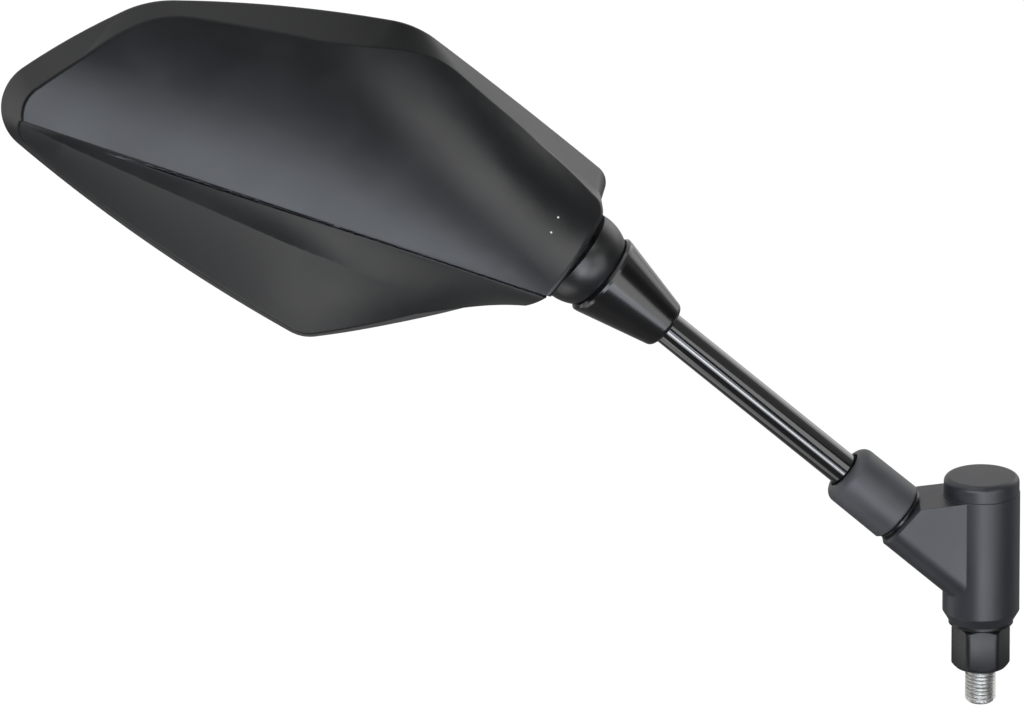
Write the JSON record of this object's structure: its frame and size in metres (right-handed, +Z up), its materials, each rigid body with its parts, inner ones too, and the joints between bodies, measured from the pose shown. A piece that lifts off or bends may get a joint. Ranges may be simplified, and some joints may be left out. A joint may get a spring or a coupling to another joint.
{
  "type": "motorcycle rear-view mirror",
  "caption": "Motorcycle mirror with a ridged moulded housing on a ball joint, a straight stem and a friction pivot on a threaded stud.",
  "frame": {"origin": "on the stud's axis, level with the hexagon's underside, which seats on the mount", "axes": "+Z up the stud's axis, -X outboard to the housing, +Y from the housing's back towards the glass"},
  "size_m": [0.328, 0.0455, 0.2374],
  "materials": {
    "housing_plastic": "moulded with a fine grain, satin",
    "socket_plastic": "moulded smooth, satin",
    "gloss_paint": "gloss black",
    "boot_plastic": "matt moulding",
    "arm_paint": "satin dark grey powder coat",
    "black_steel": "black zinc",
    "zinc_steel": "bright zinc",
    "plain_steel": "plain steel",
    "seat_plastic": "natural acetal",
    "inner_plastic": "black moulding",
    "pad_foam": "foam tape",
    "mirror_face": "silvered convex glass"
  },
  "bodies": {
    "base": {"pivot_bolt": "zinc_steel", "base_hex": "black_steel", "base_washer": "black_steel", "thrust_washer": "plain_steel", "pivot_springs": "plain_steel"},
    "arm": {"pivot_arm": "arm_paint", "lower_bush": "seat_plastic", "upper_bush": "seat_plastic", "pivot_cap": "arm_paint", "stem_rod": "gloss_paint", "stem_washer": "plain_steel", "stem_nut": "plain_steel", "lock_nut_boot": "boot_plastic", "joint_cone": "gloss_paint", "joint_ball": "plain_steel"},
    "rear_ring": {"rear_seat": "seat_plastic"},
    "front_ring": {"front_seat": "seat_plastic"},
    "head": {"socket_body": "socket_plastic", "thrust_cup": "seat_plastic", "joint_springs": "plain_steel", "socket_plug": "inner_plastic", "socket_screws": "plain_steel", "housing_shell": "housing_plastic", "glass_carrier": "inner_plastic", "carrier_screws": "plain_steel", "glass_pad": "pad_foam", "mirror_glass": "mirror_face"}
  },
  "joints": [
    {"name": "arm_swing", "type": "hinge", "parent": "base", "child": "arm", "pos_m": [0, 0, 0.035], "axis": [0, 0, 1], "continuous": true},
    {"name": "head_raise", "type": "hinge", "parent": "arm", "child": "rear_ring", "pos_m": [-0.13019, 0, 0.14247], "axis": [0, 1, 0], "range_deg": [-15, 15]},
    {"name": "head_angle", "type": "hinge", "parent": "rear_ring", "child": "front_ring", "pos_m": [-0.13019, 0, 0.14247], "axis": [0.6561, 0, 0.7547], "range_deg": [-15, 15]},
    {"name": "head_twist", "type": "hinge", "parent": "front_ring", "child": "head", "pos_m": [-0.13019, 0, 0.14247], "axis": [-0.7547, 0, 0.6561], "continuous": true}
  ]
}
